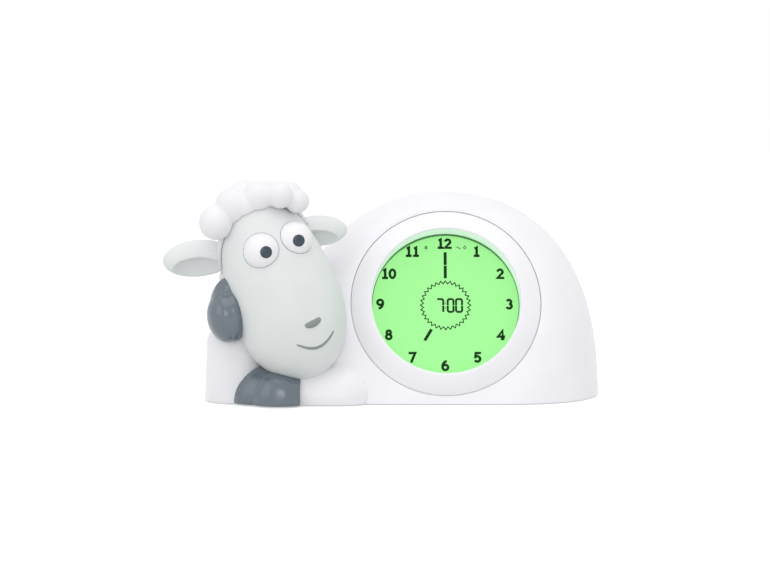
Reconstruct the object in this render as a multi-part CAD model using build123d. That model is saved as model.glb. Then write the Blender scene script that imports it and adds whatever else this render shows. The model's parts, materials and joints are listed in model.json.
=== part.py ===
from build123d import *
import os
from math import cos, pi, radians, sin

# Bedside alarm clock with a night light, in the form of a resting lamb.
# Millimetres, +Z up, front towards -Y, lamb's head at -X. The rubber feet stand on z = 0
# and the origin is under the middle of the whole clock.

os.makedirs("parts", exist_ok=True)

# ------------------------------------------------------------------ driving dimensions
CENTRE_X = 1.9              # middle of the clock in the modelling axes
CENTRE_Y = -14.1

WALL = 2.5                  # moulded ABS wall
FIT = 0.1                   # gap between pieces that are screwed together
RUN = 0.3                   # gap round everything that slides

BASE_Z = 0.6                # underside of the housing, above the feet
PLATE_TOP = 3.6

# Dome: sections in planes that turn from the leaning dial to the leaning rear panel
Y_FRONT, Y_MID, Y_REAR = -48.0, -2.0, 44.0
LEAN_FRONT, LEAN_MID, LEAN_REAR = 18.5, 6.0, -10.0
DIAL_X, DIAL_H = 32.3, 52.1
LAND_FRONT, LAND_REAR = 48.8, 46.0
DOME_X, DOME_TOP = 28.0, 104.0
DOME_RIGHT, POWER_RIGHT = 83.5, 2.4
DOME_LEFT, POWER_LEFT = 86.0, 1.9
SECTION_POINTS = 24

# Lamb's chest and sleeves
CHEST_AT = (-48.0, -2.0)
CHEST_RADII = (37.0, 40.0, 60.0)
ELBOW_AT, ELBOW_R = (-70.0, -27.0, 0.0), 18.4
WRIST_AT, WRIST_R = (-73.5, -33.0, 37.0), 12.7
CUFF_ROUND = 6.0
FOREARM_Y, FOREARM_Z, FOREARM_R = -36.0, 3.0, 16.0
FOREARM_LEFT, FOREARM_RIGHT = -39.3, -19.0

# Head: an egg standing on the chin, its crown leaning to the left
CHIN = (-33.7, -42.0, 12.9)
HEAD_ROLL = 19.0
HEAD_RADIUS = 27.4
HEAD_BELOW, HEAD_ABOVE = 35.0, 62.0     # from the widest girth down to the chin, up to the crown
HEAD_WALL = 2.2
EYE_T, EYE_REACH, EYE_R = 67.5, 20.4, 8.8
EYE_TURNS = {"left": -4.0, "right": 46.0}
PUPIL_R, PUPIL_PROUD = 2.9, 0.3
PUPIL_TURN = 18.0

# Ears: folded leaves, each an ellipsoid with a shallow hollow in its lower front
EAR_LEFT_AT, EAR_LEFT_RADII, EAR_LEFT_TILT = (-90.2, -36.0, 71.5), (17.6, 6.5, 9.2), -6.0
EAR_RIGHT_AT, EAR_RIGHT_RADII, EAR_RIGHT_TILT = (-32.0, -31.0, 84.8), (15.4, 6.0, 7.8), -4.0
EAR_HOLLOW_DOWN, EAR_HOLLOW_FRONT = 0.95, 0.9   # its middle, in the ear's own half-height and half-depth

# Hooves: each lobe is (middle, radii, tilt)
TOES_UP = [((-75.6, -49.5, 47.4), (9.0, 12.0, 16.6), -14.0), ((-73.0, -37.0, 45.0), (9.0, 12.0, 13.5), -8.0)]
TOES_DOWN = [((-53.5, -42.0, 2.0), (19.5, 11.5, 17.4), 0.0), ((-49.5, -49.0, 2.0), (13.5, 9.5, 15.5), 0.0)]
PASTERN_START = -53.5
PASTERN_AT, PASTERN_RADII = (-37.5, 2.0), (17.0, 16.6)

# Wool lumps round the face, each (turn from the front, height up the head, distance from its axis,
# radius), then rows of equal lumps over the back, each (height, distance, radius, first turn, last
# turn, count)
WOOL_SKIN = 2.2
WOOL_SEAM, WOOL_SLOPE, WOOL_TURN = 73.0, 48.0, 12.0
WOOL_FRONT = [(-60, 87.6, 21.1, 8.6), (-42, 92.4, 11.8, 9.2), (-11, 90.8, 10.1, 7.5), (24, 92.7, 12.1, 7.6),
              (49, 90.3, 20.3, 6.8), (68, 84.7, 23.6, 6.0), (-36, 94.2, 3.7, 8.7), (78, 92.1, 9.3, 7.0),
              (85, 88.1, 18.5, 7.3)]
WOOL_ROWS = [(86, 13.5, 8.0, 130, 235, 4), (73, 19.0, 8.4, 135, 225.75, 4), (58, 22.5, 8.6, 150, 244, 4)]

# Dial and display stack, as depths behind the dial's land; the ring rises to its inner lip
RING_R, RING_GAP, RING_DEPTH, RING_WALL = 47.15, 0.25, 2.2, 2.0
LIP_RISE, RING_BULGE = 4.5, 0.5
OPENING_R, RECESS_R, RECESS_DEPTH = 36.8, 37.1, 5.5
TUBE_IN, TUBE_OUT, TUBE_DEPTH = 40.7, 43.2, 7.0
LENS_T, LCD_T, GUIDE_T, LED_T = 1.2, 2.2, 4.0, 1.0
LCD_FLATS = 75.0
GUIDE_R, LED_BOARD_R, LED_RING_R, LED_COUNT = 40.0, 39.0, 28.0, 8
LEDGE_V = -34.5             # the panel's terminal ledge is left clear below this line
BOARD_T = 1.2
HOLDER_IN, HOLDER_OUT, HOLDER_FLOOR, HOLDER_HOLE_R = 41.2, 43.8, 2.0, 22.0
EAR_SCREW_R, EAR_SCREW_TURNS = 50.5, (0, 180, 218, 322)
EAR_TOP, EAR_T = 9.0, 2.0
RIBBON_W, RIBBON_T = 28.0, 0.3
MAIN_BOARD_AT, MAIN_BOARD_SIZE, MAIN_BOARD_DEPTH = (0, 8), (64, 46), 24.0
MAIN_POSTS = [(-28, -11), (28, -11), (-28, 27), (28, 27)]

# Rear panel: places across and up from the middle of the rear land
PANEL_R, PANEL_DEPTH = 42.0, 0.8
BUTTON_TRAVEL, BUTTON_PROUD = 1.0, 1.3
BUTTON_FLANGE, FLANGE_TOP, FLANGE_T = 1.2, -2.7, 1.0
STEM_R, STEM_END = 2.0, -4.4
BUTTONS = {"light": (15, 31, 7.0), "set": (6, 16, 4.5), "plus": (24, 16, 4.5),
           "alarm": (6, 2, 4.5), "minus": (24, 2, 4.5), "volume": (24, -12, 4.5)}
TACT_SIZE, TACT_T, PLUNGER_TOP = 6.0, 2.8, -5.5
LOCK_AT, LOCK_TRAVEL, LOCK_KNOB = (4, -12), 4.0, (5.0, 4.0)
SOCKET_AT, SOCKET_SIZE, SOCKET_END = (15, -22), (7.8, 2.9), -1.6
SPEAKER_AT, SPEAKER_R = (-22, 0), 13.5
GRILLE_R, GRILLE_PITCH, GRILLE_SLOT = 11.5, 3.4, 1.6
KEY_BOARD_TOP, KEY_BOARD_T = -9.0, 1.6
KEY_BOARD_AT, KEY_BOARD_SIZE = (15.5, 5.25), (37.0, 65.5)
KEY_POSTS = [(-0.5, 26), (31.5, 26), (-0.5, -24.5), (31.5, -24.5)]

# Battery bay for three AA cells
CELL_R, CELL_LENGTH, CELL_PITCH = 7.25, 50.5, 15.0
NUB_R, NUB_LENGTH = 2.75, 1.3
BAY_X, BAY_FRONT, BAY_LENGTH, BAY_ROOF, BAY_WALL = 30.0, -18.5, 54.0, 19.2, 1.6
DOOR_WIDTH, DOOR_T, DOOR_TRAVEL = 47.0, 2.0, 58.0
TONGUE, TONGUE_LOW, TONGUE_HIGH = 1.5, 1.6, 2.4
LIP_EXTRA, LIP_TOP = 2.2, 9.0

# Feet and screws
FEET, FOOT_R, FOOT_POCKET = [(-66, -27), (-56, 24), (80, -26), (86, 24)], 5.0, 0.8
BOSS_R, PILOT_R, SHANK_R, SCREW_R, HEAD_R, HEAD_T = 3.6, 1.1, 1.6, 1.1, 2.6, 1.8
HOUSING_SCREWS = [(92, 24), (-60, 24), (-22, 74), (80, 74)]
SEAT_BEHIND_PARTING = 12.0
BASE_SCREWS = [(8, -39.5), (60, -39.0), (-8, 37.0), (68, 36.0), (-79.2, -6.0), (105.5, -8.0)]
BASE_BOSS_TOP = 13.0
HEAD_SCREWS = [(-47.5, 48.0), (-43.0, 31.0)]
HEAD_SEAT_Y, HEAD_BOSS_END_Y = -11.3, -27.0
NECK_HOLE_AT, NECK_HOLE_R = (-45.3, 39.5), 4.0


# ------------------------------------------------------------------ places and simple solids
def leaning_place(x, y_base, height, lean, outward):
    """Frame of a leaning section, its local z pointing out of the clock (outward is -1 to the front)."""
    lean = radians(lean)
    origin = (x, y_base + height * sin(lean), height * cos(lean))
    normal = (0, outward * cos(lean), -outward * sin(lean))
    return Plane(origin, x_dir=(-outward, 0, 0), z_dir=normal).location


FRONT = leaning_place(DIAL_X, Y_FRONT, DIAL_H, LEAN_FRONT, -1)
REAR = leaning_place(DIAL_X, Y_REAR, DIAL_H, LEAN_REAR, 1)
HEAD = Pos(*CHIN) * Rot(0, -HEAD_ROLL, 0)
SIDEWAYS = Plane((0, 0, 0), x_dir=(0, 1, 0), z_dir=(1, 0, 0)).location
SPACE = 300.0               # larger than the clock, for half-spaces


def disc(place, u, v, radius, top, bottom):
    return place * Pos(u, v, (top + bottom) / 2) * Cylinder(radius, top - bottom)


def block(place, u, v, width, height, top, bottom):
    return place * Pos(u, v, (top + bottom) / 2) * Box(width, height, top - bottom)


def prism(place, sketch, top, bottom):
    return extrude(place * Pos(0, 0, bottom) * sketch, amount=top - bottom)


def turned(place, points):
    """Solid of revolution about the local z axis from a closed (radius, z) outline."""
    outline = make_face(Polyline(*[(r, 0, z) for r, z in points], close=True))
    return place * revolve(outline, Axis.Z)


def span(low, high):
    """Upright box between two corners."""
    low, high = Vector(*low), Vector(*high)
    size, middle = high - low, (low + high) * 0.5
    return Pos(middle.X, middle.Y, middle.Z) * Box(size.X, size.Y, size.Z)


def ellipsoid(centre, radii, tilt=0.0, turn=0.0):
    return Pos(*centre) * Rot(0, tilt, 0) * Rot(0, 0, turn) * scale(Sphere(1), tuple(radii))


def above(height):
    return span((-SPACE, -SPACE, height), (SPACE, SPACE, SPACE))


def front_half():
    place = leaning_place(0, Y_MID, 0, LEAN_MID, -1)
    return block(place, 0, 0, 2 * SPACE, 2 * SPACE, SPACE, 0)


def screw(place, length):
    """Pan-head screw, head up along local z from the origin and shank below it."""
    return disc(place, 0, 0, HEAD_R, HEAD_T, 0) + disc(place, 0, 0, SCREW_R, 0, -length)


def on_circle(radius, turn):
    return radius * cos(radians(turn)), radius * sin(radians(turn))


def save(name, shape):
    export_step(Pos(-CENTRE_X, -CENTRE_Y, 0) * Compound(shape.solids()), f"parts/{name}.step")


# ------------------------------------------------------------------ lamb's head
def egg(growth):
    """The head's form, its surface moved out by growth (in where growth is negative)."""
    radius = HEAD_RADIUS + growth
    low = scale(Sphere(1), (radius, radius, HEAD_BELOW + growth)) - above(0)
    high = scale(Sphere(1), (radius, radius, HEAD_ABOVE + growth)) & above(0)
    return HEAD * Pos(0, 0, HEAD_BELOW) * (low + high)


def head_place(turn, height, reach):
    """Place on the head, its local -y pointing out; turn 0 faces the front, 90 the right."""
    return HEAD * Rot(0, 0, turn) * Pos(0, -reach, height)


def along_y(x, z, start, end, radius):
    return Pos(x, (start + end) / 2, z) * Rot(90, 0, 0) * Cylinder(radius, abs(end - start))


def face_shell():
    """Hollow head, open at the neck, with two screw bosses that stand inward from its back."""
    bosses = [along_y(x, z, 0, HEAD_BOSS_END_Y, BOSS_R) for x, z in HEAD_SCREWS]
    pilots = [along_y(x, z, 0, HEAD_BOSS_END_Y + 1, PILOT_R) for x, z in HEAD_SCREWS]
    neck = along_y(*NECK_HOLE_AT, 0, -HEAD_RADIUS, NECK_HOLE_R)
    return (egg(0) - (egg(-HEAD_WALL) - bosses)) - (pilots + [neck])


def wool_form():
    """Skin over the crown above a sloping seam, with a round lump at each place."""
    lid = HEAD * Pos(0, 0, WOOL_SEAM) * Rot(0, 0, WOOL_TURN) * Rot(-WOOL_SLOPE, 0, 0)
    wool = egg(WOOL_SKIN) & block(lid, 0, 0, SPACE, SPACE, SPACE, 0)
    lumps = list(WOOL_FRONT)
    for height, reach, radius, first, last, count in WOOL_ROWS:
        for k in range(count):
            lumps.append((first + (last - first) * k / (count - 1), height, reach, radius))
    for turn, height, reach, radius in lumps:
        wool += head_place(turn, height, reach) * Sphere(radius)
    return wool


def eye_and_pupil(side, head):
    place = head_place(EYE_TURNS[side], EYE_T, EYE_REACH)
    ball = place * Sphere(EYE_R)
    gaze = Pos(*place.position) * Rot(0, 0, PUPIL_TURN) * Rot(90, 0, 0)
    pupil = (place * Sphere(EYE_R + PUPIL_PROUD)) & disc(gaze, 0, 0, PUPIL_R, 2 * EYE_R, 0)
    return ball - head, pupil - ball


def ear(centre, radii, tilt, turn, head):
    """Leaf with a hollow along its lower front; turn points the ellipsoid's seam away from the head."""
    leaf = ellipsoid(centre, radii, tilt, turn)
    across, deep, high = radii
    x, y, z = centre
    hollow_at = (x, y - EAR_HOLLOW_FRONT * deep, z - EAR_HOLLOW_DOWN * high)
    hollow = ellipsoid(hollow_at, (0.86 * across, deep, high), tilt, turn)
    return leaf - hollow - head


def hoof_up(head, housing):
    """Two lobes, the larger against the cheek; their seams are turned away from the cuts."""
    front, back = [ellipsoid(*lobe, turn=180) for lobe in TOES_UP]
    return (front + back) - head - housing


def hoof_down(head, housing):
    """Two rounded toes towards the left, then a straight stretch up to the sleeve."""
    y, z = PASTERN_AT
    ry, rz = PASTERN_RADII
    section = Pos(PASTERN_START, y, z) * Rot(0, 90, 0) * Ellipse(rz, ry)
    pastern = extrude(section, amount=FOREARM_LEFT - PASTERN_START)
    toes = ellipsoid(*TOES_DOWN[0]) + ellipsoid(*TOES_DOWN[1])
    left = span((-SPACE, -SPACE, BASE_Z), (FOREARM_LEFT, SPACE, SPACE))
    return ((toes + pastern) & left) - head - housing


# ------------------------------------------------------------------ housing forms
def dome_reach(angle):
    """Distance from the dial's axis to the widest outline, at an angle up from +X."""
    near, far = 0.0, SPACE
    for _ in range(40):
        reach = (near + far) / 2
        x = DIAL_X + reach * cos(angle) - DOME_X
        z = DIAL_H + reach * sin(angle)
        half, power = (DOME_RIGHT, POWER_RIGHT) if x > 0 else (DOME_LEFT, POWER_LEFT)
        if (abs(x) / half) ** power + (abs(z) / DOME_TOP) ** power > 1:
            far = reach
        else:
            near = reach
    return near


def dome_section(y, lean, land, widening, inset):
    points = []
    for k in range(SECTION_POINTS):
        angle = 2 * pi * k / SECTION_POINTS - pi / 2
        reach = land + (dome_reach(angle) - land) * widening - inset
        height = DIAL_H + reach * sin(angle)
        points.append(Vector(DIAL_X + reach * cos(angle),
                             y + height * sin(radians(lean)), height * cos(radians(lean))))
    return Wire([Edge.make_spline(points, periodic=True)])


def dome(inset):
    """Loft from the dial's round land, over the widest outline, to the rear panel's land."""
    sections = []
    for widening in (0, 0.18, 0.4, 0.6, 0.78, 0.92, 1.0):
        back = 1 - (1 - widening ** 1.8) ** (1 / 1.8)
        y = Y_FRONT + inset + (Y_MID - Y_FRONT - inset) * back
        lean = LEAN_FRONT + (LEAN_MID - LEAN_FRONT) * back
        sections.append(dome_section(y, lean, LAND_FRONT, widening, inset))
    for widening in (0.93, 0.8, 0.6, 0.36, 0.15, 0):
        back = 1 - (1 - widening ** 2) ** 0.5
        y = Y_REAR - inset + (Y_MID - Y_REAR + inset) * back
        lean = LEAN_REAR + (LEAN_MID - LEAN_REAR) * back
        sections.append(dome_section(y, lean, LAND_REAR, widening, inset))
    return Part() + Solid.make_loft(sections)


def raised_sleeve(inset):
    line = Vector(*WRIST_AT) - Vector(*ELBOW_AT)
    length = line.length - inset
    wrist_r = WRIST_R - inset
    cone = Part() + Solid.make_cone(ELBOW_R - inset, wrist_r, length, Plane(ELBOW_AT, z_dir=line))
    cuff = cone.edges().sort_by(Axis.Z)[-1]
    return fillet(cuff, CUFF_ROUND - inset / 2)


def lying_sleeve(inset):
    radius = FOREARM_R - inset
    start = FOREARM_LEFT + inset
    section = Pos(start, FOREARM_Y, FOREARM_Z) * Rot(0, 90, 0) * Circle(radius)
    sleeve = extrude(section, amount=FOREARM_RIGHT - start)
    return sleeve + Pos(FOREARM_RIGHT, FOREARM_Y, FOREARM_Z) * Sphere(radius)


def body(inset):
    """The whole white form with the head's seat taken out, its surface moved in by inset."""
    chest_radii = [radius - inset for radius in CHEST_RADII]
    form = dome(inset) + ellipsoid((*CHEST_AT, 0), chest_radii)
    form = form + raised_sleeve(inset) + lying_sleeve(inset)
    return form - egg(inset)


# ------------------------------------------------------------------ housing shells
def housing_bosses(inner):
    return [(Pos(x, 0, z) * Rot(90, 0, 0) * Cylinder(BOSS_R, SPACE / 2)) & inner for x, z in HOUSING_SCREWS]


def base_bosses(outer):
    return [disc(Pos(x, y, 0), 0, 0, BOSS_R, BASE_BOSS_TOP, PLATE_TOP) & outer for x, y in BASE_SCREWS]


def head_seat_pads(outer):
    """Flat-backed pads behind the head's seat, where its screws pull."""
    return [along_y(x, z, HEAD_SEAT_Y, HEAD_SEAT_Y - 10, BOSS_R + 1) & outer for x, z in HEAD_SCREWS]


def display_seat(inner):
    """Ledge and tube behind the dial that carry the ring and the lens, and the holder's bosses."""
    seat = disc(FRONT, 0, 0, LAND_FRONT, -RING_DEPTH, -RING_DEPTH - WALL)
    seat += disc(FRONT, 0, 0, TUBE_OUT, -RING_DEPTH, -TUBE_DEPTH)
    for turn in EAR_SCREW_TURNS:
        seat += disc(FRONT, *on_circle(EAR_SCREW_R, turn), BOSS_R, 0, -EAR_TOP) & inner
    return seat & above(PLATE_TOP + FIT)


def parting_y(z):
    return Y_MID + z * sin(radians(LEAN_MID)) / cos(radians(LEAN_MID))


def front_openings():
    """Ring well, display opening and the screws' holes."""
    cuts = [disc(FRONT, 0, 0, RING_R + RING_GAP, SPACE / 10, -RING_DEPTH),
            disc(FRONT, 0, 0, TUBE_IN, SPACE / 10, -SPACE / 10)]
    for turn in EAR_SCREW_TURNS:
        cuts.append(disc(FRONT, *on_circle(EAR_SCREW_R, turn), PILOT_R, -EAR_TOP + 6, -EAR_TOP))
    for x, z in HOUSING_SCREWS:
        cuts.append(disc(Pos(x, parting_y(z), z) * Rot(-90, 0, 0), 0, 0, PILOT_R, 0, -10))
    for x, z in HEAD_SCREWS:
        cuts.append(along_y(x, z, HEAD_SEAT_Y + 1, HEAD_SEAT_Y - 20, SHANK_R))
    return cuts


def door_notch(gap):
    half = DOOR_WIDTH / 2 + LIP_EXTRA + gap
    return span((BAY_X - half, BAY_FRONT + BAY_LENGTH, BASE_Z - 1), (BAY_X + half, SPACE, LIP_TOP + gap))


def grille_slots():
    """Upright slots whose ends follow a circle."""
    u, v = SPEAKER_AT
    rows = int(GRILLE_R // GRILLE_PITCH)
    slots = []
    for row in range(-rows, rows + 1):
        offset = row * GRILLE_PITCH
        length = 2 * (GRILLE_R ** 2 - offset ** 2) ** 0.5
        slots.append(prism(REAR, Pos(u + offset, v) * SlotOverall(length, GRILLE_SLOT, rotation=90), 1, -4))
    return slots


def rear_openings():
    """Panel recess, holes for the buttons, slider and socket, grille, screws and the door's notch."""
    cuts = [disc(REAR, 0, 0, PANEL_R, 5, -PANEL_DEPTH), door_notch(RUN)] + grille_slots()
    for u, v, radius in BUTTONS.values():
        cuts.append(disc(REAR, u, v, radius + RUN, 1, -4))
    width, height = LOCK_KNOB
    cuts.append(block(REAR, *LOCK_AT, width + LOCK_TRAVEL + 2 * RUN, height + 2 * RUN, 1, -4))
    width, height = SOCKET_SIZE
    cuts.append(block(REAR, *SOCKET_AT, width + 1.6, height + 1.6, 1, -4))
    for u, v in KEY_POSTS:
        cuts.append(disc(REAR, u, v, PILOT_R, KEY_BOARD_TOP + 5, KEY_BOARD_TOP))
    for x, z in HOUSING_SCREWS:
        along = Pos(x, parting_y(z), z) * Rot(-90, 0, 0)
        cuts.append(disc(along, 0, 0, SHANK_R, SEAT_BEHIND_PARTING, -1))
        cuts.append(disc(along, 0, 0, HEAD_R + FIT, SPACE / 3, SEAT_BEHIND_PARTING))
    return cuts


def shells(outer, inner):
    """Front and rear housing shells, parted along the dome's widest line."""
    walls = (outer & above(BASE_Z)) - inner
    walls = walls + (housing_bosses(inner) + base_bosses(outer))
    pilots = [disc(Pos(x, y, 0), 0, 0, PILOT_R, BASE_BOSS_TOP - 1, PLATE_TOP) for x, y in BASE_SCREWS]
    front = (walls & front_half()) + ([display_seat(inner)] + head_seat_pads(outer))
    posts = [disc(REAR, u, v, STEM_R + 0.6, -PANEL_DEPTH - 1, KEY_BOARD_TOP) for u, v in KEY_POSTS]
    rear = (walls - front_half()) + posts
    return front - (front_openings() + pilots), rear - (rear_openings() + pilots)


# ------------------------------------------------------------------ base and batteries
def bay_slot(half, low, high):
    """Straight slot along the door's way, open to the rear."""
    return span((BAY_X - half, BAY_FRONT, low), (BAY_X + half, SPACE, high))


def base_plate():
    plate = body(WALL + FIT) & span((-SPACE, -SPACE, BASE_Z), (SPACE, SPACE, PLATE_TOP))
    half = DOOR_WIDTH / 2 + RUN
    rear_y = BAY_FRONT + BAY_LENGTH
    plate += span((BAY_X - half - BAY_WALL, BAY_FRONT - BAY_WALL, BASE_Z),
                  (BAY_X + half + BAY_WALL, rear_y + BAY_WALL, BAY_ROOF + BAY_WALL))
    plate -= span((BAY_X - half, BAY_FRONT, BASE_Z - 1), (BAY_X + half, rear_y, BAY_ROOF))
    plate -= bay_slot(half, BASE_Z - 1, BASE_Z + DOOR_T + RUN)
    plate -= bay_slot(half + TONGUE, TONGUE_LOW - RUN, TONGUE_HIGH + RUN)
    for x, y in BASE_SCREWS:
        place = Pos(x, y, 0)
        plate -= disc(place, 0, 0, SHANK_R, PLATE_TOP, BASE_Z)
        plate -= disc(place, 0, 0, HEAD_R + FIT, BASE_Z + 1.2, BASE_Z)
    for x, y in FEET:
        plate -= disc(Pos(x, y, 0), 0, 0, FOOT_R, BASE_Z + FOOT_POCKET, BASE_Z)
    return plate


def battery_door(outer, inner):
    half = DOOR_WIDTH / 2
    rear_y = BAY_FRONT + BAY_LENGTH + 6
    door = span((BAY_X - half, BAY_FRONT + RUN, BASE_Z), (BAY_X + half, rear_y, BASE_Z + DOOR_T))
    door += span((BAY_X - half - TONGUE, BAY_FRONT + RUN, TONGUE_LOW),
                 (BAY_X + half + TONGUE, rear_y - 6, TONGUE_HIGH))
    lip = (outer - inner) & door_notch(0) & above(BASE_Z)
    return (door & outer) + lip


def cell_lanes():
    """Middle of each cell's lane, and which way its positive end points (1 is to the rear)."""
    z = BASE_Z + DOOR_T + 2 * RUN + CELL_R
    return [(BAY_X + k * CELL_PITCH, z, 1 if k % 2 else -1) for k in (-1, 0, 1)]


def aa_cells():
    cells = []
    y = BAY_FRONT + BAY_LENGTH / 2
    for x, z, way in cell_lanes():
        place = Pos(x, y, z) * Rot(-90 * way, 0, 0)
        half = CELL_LENGTH / 2
        can = disc(place, 0, 0, CELL_R, half - NUB_LENGTH, -half)
        cells.append(can + disc(place, 0, 0, NUB_R, half, -half))
    return Part() + cells


def bay_contacts():
    """A flat plate at each positive end and a bowed leaf spring at each negative end."""
    plates, springs = [], []
    for x, z, way in cell_lanes():
        middle = BAY_FRONT + BAY_LENGTH / 2
        room = (BAY_LENGTH - CELL_LENGTH) / 2
        positive = Pos(x, middle + way * BAY_LENGTH / 2, z) * Rot(90 * way, 0, 0)
        negative = Pos(x, middle - way * BAY_LENGTH / 2, z) * Rot(-90 * way, 0, 0)
        plates.append(block(positive, 0, 0, 10, 10, room, 0))
        bow = Pos(0, 0, room - CELL_R) * Rot(90, 0, 0) * (Cylinder(CELL_R, 6) - Cylinder(CELL_R - 0.4, 6))
        leaf = (negative * bow) & block(negative, 0, 0, 10, 10, room, 0)
        springs.append(leaf + block(negative, 0, 0, 11, 10, 0.4, 0))
    return Part() + plates, Part() + springs


def rubber_feet():
    feet = []
    for x, y in FEET:
        pad = Pos(x, y, (BASE_Z + FOOT_POCKET) / 2) * Cylinder(FOOT_R - 0.05, BASE_Z + FOOT_POCKET)
        feet.append(chamfer(pad.edges().sort_by(Axis.Z)[0], 0.5))
    return Part() + feet


# ------------------------------------------------------------------ dial and display
def face_ring():
    """Collar that rises from its flush outer edge to the lip, hollow underneath, round the recess."""
    def at(r, z):
        return (r, 0, z)

    skirt, foot = RECESS_R + RING_WALL, RING_R - RING_WALL - 0.4
    edge, lip = at(RING_R - 0.5, 0.1), at(OPENING_R + 1.2, LIP_RISE - 0.1)
    bulge = at((edge[0] + lip[0]) / 2, (edge[2] + lip[2]) / 2 + RING_BULGE)
    outline = Polyline(at(RING_R, -RING_DEPTH), at(RING_R, -0.4), edge)
    outline += ThreePointArc(edge, bulge, lip)
    outline += Polyline(lip, at(OPENING_R + 0.4, LIP_RISE), at(OPENING_R, LIP_RISE - 0.5),
                        at(RECESS_R, -RECESS_DEPTH), at(TUBE_IN - FIT, -RECESS_DEPTH),
                        at(TUBE_IN - FIT, -RECESS_DEPTH + 1.5), at(skirt, -RECESS_DEPTH + 1.5),
                        at(skirt, LIP_RISE - 1.2 * RING_WALL), at(foot, -RING_WALL + 0.4),
                        at(foot, -RING_DEPTH), at(RING_R, -RING_DEPTH))
    return FRONT * revolve(make_face(outline), Axis.Z)


def octagon(flats):
    return RegularPolygon(flats / 2, 8, major_radius=False)


def above_ledge():
    return block(FRONT, 0, LEDGE_V + SPACE / 2, SPACE, SPACE, SPACE / 2, -SPACE / 2)


def lcd_ribbon():
    """Flat flex from the panel's ledge back round the light guide to the main board."""
    ledge = -RECESS_DEPTH - LENS_T - LCD_T - RIBBON_T / 2
    board = -MAIN_BOARD_DEPTH + 1.5
    corner = LEDGE_V - 1.2
    route = Polyline((LEDGE_V - 2.4, ledge), (corner, ledge), (corner, -19.0), (LEDGE_V + 12, -19.0),
                     (MAIN_BOARD_AT[1] - MAIN_BOARD_SIZE[1] / 2 + 1, board))
    strip = extrude(trace(route, line_width=RIBBON_T), amount=RIBBON_W / 2, both=True)
    return FRONT * SIDEWAYS * strip


def display_stack():
    lens_back = -RECESS_DEPTH - LENS_T
    lcd_back = lens_back - LCD_T
    guide_back = lcd_back - GUIDE_T
    board_top = guide_back - LED_T
    stack = {
        "display_lens": disc(FRONT, 0, 0, TUBE_IN - FIT, -RECESS_DEPTH, lens_back),
        "lcd_panel": prism(FRONT, octagon(LCD_FLATS), lens_back, lcd_back),
        "light_guide": disc(FRONT, 0, 0, GUIDE_R, lcd_back, guide_back) & above_ledge(),
        "led_board": disc(FRONT, 0, 0, LED_BOARD_R, board_top, board_top - BOARD_T) & above_ledge(),
    }
    leds = Part()
    for k in range(LED_COUNT):
        u, v = on_circle(LED_RING_R, (k + 0.5) * 360 / LED_COUNT)
        leds += block(FRONT, u, v, 3, 3, board_top + 0.8, board_top)
    stack["backlight_leds"] = leds
    return stack


def display_holder():
    floor_top = -RECESS_DEPTH - LENS_T - LCD_T - GUIDE_T - LED_T - BOARD_T
    holder = disc(FRONT, 0, 0, HOLDER_OUT, -TUBE_DEPTH - FIT, floor_top - HOLDER_FLOOR)
    holder -= disc(FRONT, 0, 0, HOLDER_IN, 0, floor_top)
    holder -= disc(FRONT, 0, 0, HOLDER_HOLE_R, 0, -SPACE / 10)
    for turn in EAR_SCREW_TURNS:
        place = FRONT * Rot(0, 0, turn)
        arm = block(place, (HOLDER_OUT + EAR_SCREW_R) / 2 - 0.5, 0, EAR_SCREW_R - HOLDER_OUT + 1, 7,
                    -EAR_TOP, -EAR_TOP - EAR_T)
        arm += disc(place, EAR_SCREW_R, 0, 3.5, -EAR_TOP, -EAR_TOP - EAR_T)
        holder += arm - disc(place, EAR_SCREW_R, 0, SHANK_R, 0, -SPACE / 10)
    for u, v in MAIN_POSTS:
        holder += disc(FRONT, u, v, STEM_R + 0.6, floor_top - HOLDER_FLOOR, -MAIN_BOARD_DEPTH)
        holder -= disc(FRONT, u, v, PILOT_R, -MAIN_BOARD_DEPTH + 5, -MAIN_BOARD_DEPTH)
    holder -= block(FRONT, 0, LEDGE_V - 3, RIBBON_W + 2, 6, -TUBE_DEPTH - 2, -SPACE / 10)
    return holder & above(PLATE_TOP + FIT)


def board_with_holes(place, middle, size, holes, top, thickness):
    board = block(place, *middle, *size, top, top - thickness)
    for u, v in holes:
        board -= disc(place, u, v, SHANK_R, top, top - thickness)
    return board


def main_board_parts():
    """Main board, clock chip with its legs, crystal can, capacitors and wire headers."""
    front, back = -MAIN_BOARD_DEPTH, -MAIN_BOARD_DEPTH - KEY_BOARD_T
    board = board_with_holes(FRONT, MAIN_BOARD_AT, MAIN_BOARD_SIZE, MAIN_POSTS, front, KEY_BOARD_T)
    chip = block(FRONT, 0, 12, 12, 12, back - 0.2, back - 1.8)
    for turn in (0, 90, 180, 270):
        side = FRONT * Pos(0, 12, 0) * Rot(0, 0, turn)
        for k in range(-3, 4):
            chip += block(side, 6.6, k * 1.5, 1.4, 0.5, back, back - 0.8)
    can_place = FRONT * Pos(14, 20, back - 1.6) * Rot(0, 90, 0)
    can = can_place * fillet(Cylinder(1.5, 8).edges(), 0.5)
    capacitors = Part()
    for u, v in ((-18, 0), (-18, 10)):
        capacitors += disc(FRONT, u, v, 3, back, back - 7)
    headers = Part()
    for u in (-10, 2, 14):
        shroud = block(FRONT, u, -8, 8, 5, back, back - 5)
        headers += shroud - block(FRONT, u, -8, 6.4, 3.4, back - 1.2, back - 6)
    return {"main_board": board, "clock_chip": chip, "crystal_can": can, "capacitors": capacitors,
            "wire_headers": headers}


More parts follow.
